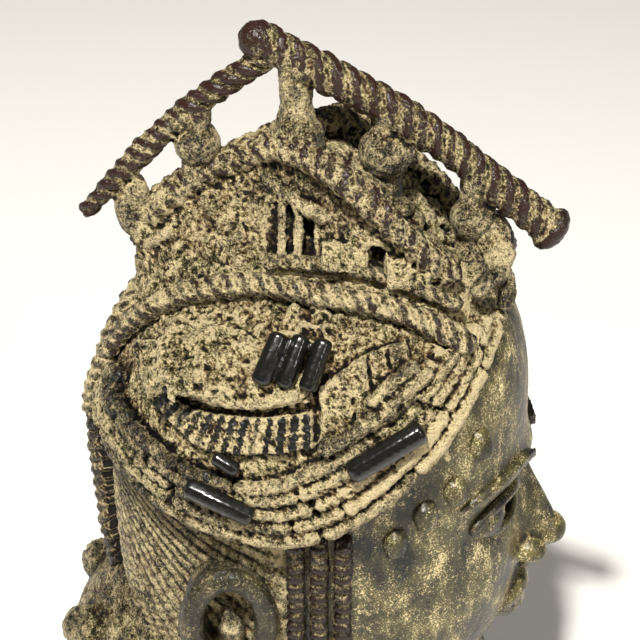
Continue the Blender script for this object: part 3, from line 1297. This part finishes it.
class OBJECT_OT_gable(bpy.types.Operator):
    """The two twisted rods over the crest and the pegs that carry them"""

    bl_idname = "bronze_head.gable"
    bl_label = "Gable"
    POST_AHEAD, POST_RADIUS = -0.006, 0.0085
    POST_WAIST = (1.35, 1.5, 1.45, 1.0, 0.86, 0.86, 0.9, 0.98, 1.05)
    # Distance ahead, radius of the ball, and how far the peg's foot lies below the crest's ropes
    PEGS = ((-0.049, 0.0101, 0.0), (0.032, 0.0118, CREST_TROUGH), (0.071, 0.0104, 0.0))
    PEG_RADII, LAST_PEG_AHEAD = (0.0085, 0.0066, 0.0066), -0.079

    def execute(self, context):
        wax = Wax()
        peak = np.array([0.0, PEAK_BACK, PEAK_HEIGHT])
        back = np.array([0.0, GABLE_BACK_REACH, PEAK_HEIGHT - GABLE_BACK_DROP])
        front = np.array([0.0, -GABLE_FRONT_REACH, PEAK_HEIGHT - GABLE_FRONT_DROP])
        bow = np.array([0.0, 0.0, 0.004])
        lay = sizes().rope_lay
        line = [back, (back + peak) / 2 + bow, peak - np.array([0, 0, 0.006])]
        wax.rope(line, ROD_RADIUS_BACK, lay, worn=0.07, ruddy=0.9, taper=0.35)
        line = [front, (front + peak) / 2 + bow, peak + np.array([0, 0.008, -0.001])]
        wax.rope(line, ROD_RADIUS_FRONT, lay * 1.15, worn=0.08, ruddy=0.9)
        wax.ball(peak + np.array([0, 0.008, -0.002]), (0.0080, 0.0085, 0.0082))
        slope = math.atan2(GABLE_FRONT_DROP, GABLE_FRONT_REACH + PEAK_BACK)
        turn = Matrix.Rotation(slope, 4, "X")
        wax.ball(front + np.array([0, -0.001, -0.001]), (0.0098, 0.006, 0.0105), turn)
        ahead = self.POST_AHEAD
        heights = np.linspace(ridge_height(ahead) - 0.008, rod_height(ahead), 25)
        waist = np.interp(np.linspace(0, 1, 25), np.linspace(0, 1, len(self.POST_WAIST)), self.POST_WAIST)
        wax.cord([(0, -ahead, z) for z in heights], self.POST_RADIUS * waist, rounding=0)
        for ahead, girth, base in self.PEGS:
            top, bottom = rod_height(ahead), ridge_height(ahead) - base
            middle = (top + bottom) / 2
            wax.ball((0, -ahead, middle), (girth, girth, girth))
            line = [(0, -ahead, height) for height in (bottom - 0.004, middle, top)]
            wax.cord(line, self.PEG_RADII, rounding=0)
        ahead = self.LAST_PEG_AHEAD
        wax.ball((0, -ahead, (rod_height(ahead) + ridge_height(ahead)) / 2), (0.0054, 0.0085, 0.017))
        cast(wax, "gable", sizes().fine_grain, rough=0.6, worn=0.25)
        return {"FINISHED"}


class OBJECT_OT_ears(bpy.types.Operator):
    """The two C-shaped ears"""

    bl_idname = "bronze_head.ears"
    bl_label = "Ears"
    # Each ring of the ear: how far it stands out from the head, and its radius
    BANDS = ((-0.002, 0.0050), (0.004, 0.0046), (0.0095, 0.0058))

    def execute(self, context):
        for sign, name in ((RIGHT, "ear_right"), (LEFT, "ear_left")):
            wax = Wax()
            middle = EAR_TOP - EAR_HEIGHT / 2
            root = on_side(sign, (-EAR_SET_BACK, middle))[0]
            for outward, girth in self.BANDS:
                band = []
                for angle in np.radians(np.linspace(-38, 238, 48)):
                    ahead = -EAR_SET_BACK + math.cos(angle) * EAR_WIDTH * 0.40
                    height = middle + math.sin(angle) * EAR_HEIGHT * 0.42
                    stand = outward * (1.0 - 0.30 * math.cos(angle))
                    band.append((root[0] + sign * stand, -ahead, height))
                wax.cord(band, girth, worn=0.45)
            lobe = root + np.array([sign * 0.004, -0.004, -EAR_HEIGHT * 0.42])
            wax.ball(lobe, (0.0065, 0.012, 0.0095))
            flap = root + np.array([sign * 0.002, -0.002, -EAR_HEIGHT * 0.30])
            tip = root + np.array([sign * 0.0075, 0.001, EAR_HEIGHT * 0.10])
            wax.cord([flap, (flap + tip) / 2, tip], (0.0085, 0.0062, 0.0030), worn=0.3)
            cast(wax, name, sizes().fine_grain, rough=0.32, worn=0.4, cuts=((in_skin(0.002), MIDDLE),),
                 polish=lambda points: np.full(len(points), 0.35))
        return {"FINISHED"}


class OBJECT_OT_braids(bpy.types.Operator):
    """The beaded braids in front of the ears"""

    bl_idname = "bronze_head.braids"
    bl_label = "Braids"
    BEAD_SPACING = 0.0058

    def execute(self, context):
        for sign, name in ((RIGHT, "braids_right"), (LEFT, "braids_left")):
            wax = Wax()
            for column in range(3):
                ahead = column * BRAID_SPACING
                heights = np.linspace(RIM_LOWEST - 0.002, RIM_LOWEST - 0.002 - BRAID_LENGTH, 20)
                line = on_side(sign, [(ahead, z) for z in heights], 0.0020)
                wax.rope(line, BRAID_RADIUS, BRAID_LAY, worn=0.12, ruddy=0.5, strands=2)
                for height in np.arange(RIM_LOWEST - 0.006, RIM_LOWEST - BRAID_LENGTH, -self.BEAD_SPACING):
                    spot = on_side(sign, (ahead, height), 0.0042)[0]
                    wax.ball(spot, (0.0030, 0.0044, 0.0024), segments=12)
                wax.ball(line[-1], (0.0055, 0.0055, 0.007))
            cast(wax, name, sizes().fine_grain, rough=0.6, worn=0.30, cuts=((in_skin(0.002), MIDDLE),))
        return {"FINISHED"}


class OBJECT_OT_collar(bpy.types.Operator):
    """The flared collar with bead rows below its roll"""

    bl_idname = "bronze_head.collar"
    bl_label = "Collar"
    # Rows of beads below the roll, and the least and greatest turn round the collar that a bead takes
    BEAD_ROWS, BEAD_TURNS = 4, (0.11, 0.19)
    # What lies this low is pressed onto the floor; within this radius the underside is one plain face
    FLAT_BELOW, FLAT_RADIUS = 0.0012, 0.080
    # Bearing in degrees, share of the collar's height, and radius
    KNOTS = ((196, 0.80, 0.0112), (200, 0.66, 0.0070))
    MIDDLE_SET_BACK, NECK_HOLLOW = 0.012, 0.056

    def execute(self, context):
        wax = Wax()
        bm = wax.bm
        steps, around = 60, 120
        profile = [bm.verts.new((0.0, -1.0, i / steps)) for i in range(steps + 1)]
        edges = [bm.edges.new((a, b)) for a, b in zip(profile, profile[1:])]
        bmesh.ops.spin(bm, geom=profile + edges, cent=(0, 0, 0), axis=(0, 0, 1), angle=2 * math.pi,
                       steps=around, use_merge=True)
        for vert in bm.verts:
            vert.co = self.place(math.atan2(vert.co.x, -vert.co.y), vert.co.z)
        bmesh.ops.holes_fill(bm, edges=[e for e in bm.edges if e.is_boundary], sides=0)
        draw = random.Random(8)
        for row in range(self.BEAD_ROWS):
            share = (row + 0.5) / self.BEAD_ROWS * COLLAR_ROLL_START
            bearing = draw.uniform(0, 0.1)
            end = bearing + 2 * math.pi
            while bearing < end - 0.12:
                wide = draw.uniform(*self.BEAD_TURNS)
                bearings = np.linspace(bearing + 0.006, bearing + wide, 8)
                line = [self.place(b, share, 1.005) for b in bearings]
                wax.cord(line, 0.0056 + 0.0012 * (1 - math.cos(bearing)) / 2)
                bearing += wide
        for sign in SIDES:
            for bearing, share, size in self.KNOTS:
                spot = self.place(math.radians(bearing), share)
                wax.ball((-sign * spot[0], spot[1], spot[2]), (size, size, size))
        cuts = ((self.underside, (0.0, self.MIDDLE_SET_BACK, 0.0)),
                (self.in_neck, (0.0, self.MIDDLE_SET_BACK, 0.03)))
        cast(wax, "collar", COLLAR_GRAIN, rough=0.9, shape=self.cut_flat, cuts=cuts)
        return {"FINISHED"}

    @staticmethod
    def place(bearing, share, out=1.0):
        """Point of the collar by bearing, 0 at the front, and by share of its height."""
        ahead = math.cos(bearing)
        reach = COLLAR_REACH_FRONT if ahead > 0 else COLLAR_REACH_BACK
        top = COLLAR_HEIGHT_FRONT + (COLLAR_HEIGHT_BACK - COLLAR_HEIGHT_FRONT) * (1 - ahead) / 2
        if share < COLLAR_ROLL_START:
            size = COLLAR_FOOT
        else:
            rise = (share - COLLAR_ROLL_START) / (1 - COLLAR_ROLL_START)
            size = COLLAR_FOOT - 0.20 * rise + 0.12 * math.sin(math.pi * min(1.0, rise * 0.94 + 0.06)) ** 0.7
        size *= out
        return Vector((COLLAR_HALF_WIDTH * size * math.sin(bearing), -reach * size * ahead, share * top))

    def cut_flat(self, points, _):
        """Presses the underside flat at the floor."""
        points[:, 2] = np.where(points[:, 2] < self.FLAT_BELOW, 0.0, points[:, 2])
        return points

    def underside(self, points):
        """The flat underside within its edge."""
        away = np.hypot(points[:, 0], points[:, 1] - self.MIDDLE_SET_BACK)
        return (points[:, 2] < 0.0002) & (away < self.FLAT_RADIUS)

    def in_neck(self, points):
        """The collar's top that the neck hides."""
        away = np.hypot(points[:, 0], points[:, 1] - 0.008)
        return (points[:, 2] > 0.03) & (away < self.NECK_HOLLOW)


class OBJECT_OT_stage(bpy.types.Operator):
    """Floor, lights and camera"""

    bl_idname = "bronze_head.stage"
    bl_label = "Stage"
    # Name, place, size, power and colour
    LAMPS = (("key", (-0.90, 0.20, 2.12), 0.12, 84.0, (1.0, 0.975, 0.93)),
             ("front", (-1.2, -1.3, 1.2), 0.30, 12.0, (1.0, 0.97, 0.92)))
    LAMP_AIM = (0.0, 0.0, 0.26)
    SKY_COLOUR, SKY_STRENGTH = (1.0, 0.985, 0.96, 1.0), 0.15
    AZIMUTH, ELEVATION, CAMERA_DISTANCE = math.radians(-85.0), math.radians(33.0), 0.85
    CAMERA_AIM, LENS = (0.0, -0.004, 0.281), 105.19

    def execute(self, context):
        scene = context.scene
        bm = bmesh.new()
        bmesh.ops.create_grid(bm, x_segments=1, y_segments=1, size=6.0)
        floor = placed("floor", mesh_of(bm, "floor"))
        material = bpy.data.materials.new("pale_floor")
        material.use_nodes = True
        shader = material.node_tree.nodes["Principled BSDF"]
        shader.inputs["Base Color"].default_value = (*colours().floor, 1.0)
        shader.inputs["Roughness"].default_value = 0.9
        floor.data.materials.append(material)
        world = bpy.data.worlds.new("studio")
        world.use_nodes = True
        background = world.node_tree.nodes["Background"]
        background.inputs["Color"].default_value = self.SKY_COLOUR
        background.inputs["Strength"].default_value = self.SKY_STRENGTH
        scene.world = world
        for lamp in self.LAMPS:
            self.light(*lamp)
        self.camera(scene)
        return {"FINISHED"}

    def light(self, name, place, size, power, colour):
        data = bpy.data.lights.new(name, "AREA")
        data.size = size
        data.energy = power
        data.color = colour
        lamp = placed(name, data)
        lamp.location = place
        aim = Vector(self.LAMP_AIM) - Vector(place)
        lamp.rotation_euler = aim.to_track_quat("-Z", "Y").to_euler()

    def camera(self, scene):
        """The photograph's view: the head's right side from above."""
        level = math.cos(self.ELEVATION)
        back = Vector((math.sin(self.AZIMUTH) * level, -math.cos(self.AZIMUTH) * level,
                       math.sin(self.ELEVATION)))
        data = bpy.data.cameras.new("camera")
        data.lens = self.LENS
        data.sensor_width = 36.0
        data.clip_start = 0.01
        camera = placed("camera", data)
        camera.location = Vector(self.CAMERA_AIM) + back * self.CAMERA_DISTANCE
        camera.rotation_euler = back.to_track_quat("Z", "Y").to_euler()
        scene.camera = camera
        scene.view_settings.view_transform = "Standard"


class VIEW3D_PT_bronze_head(bpy.types.Panel):
    """Steps of the model in building order"""

    bl_label = "Bronze Head"
    bl_space_type = "VIEW_3D"
    bl_region_type = "UI"
    bl_category = "Bronze Head"

    def draw(self, context):
        for group in (context.scene.bronze_head_sizes, context.scene.bronze_head_colours):
            for name in group.bl_rna.properties.keys():
                if name not in ("rna_type", "name"):
                    self.layout.prop(group, name)
        for step in STEPS:
            self.layout.operator(step.bl_idname)


STEPS = (OBJECT_OT_head_and_face, OBJECT_OT_face_details, OBJECT_OT_hair_net, OBJECT_OT_cap_sides,
         OBJECT_OT_cap_tubes, OBJECT_OT_crest, OBJECT_OT_crown_ropes, OBJECT_OT_gable, OBJECT_OT_ears,
         OBJECT_OT_braids, OBJECT_OT_collar, OBJECT_OT_stage)
CLASSES = (BronzeHeadSizes, BronzeHeadColours, *STEPS, VIEW3D_PT_bronze_head)


def register():
    for kind in CLASSES:
        bpy.utils.register_class(kind)
    bpy.types.Scene.bronze_head_sizes = bpy.props.PointerProperty(type=BronzeHeadSizes)
    bpy.types.Scene.bronze_head_colours = bpy.props.PointerProperty(type=BronzeHeadColours)


def unregister():
    del bpy.types.Scene.bronze_head_colours
    del bpy.types.Scene.bronze_head_sizes
    for kind in reversed(CLASSES):
        bpy.utils.unregister_class(kind)


def main():
    register()
    for step in STEPS:
        group, name = step.bl_idname.split(".")
        getattr(getattr(bpy.ops, group), name)()


if __name__ == "__main__":
    main()
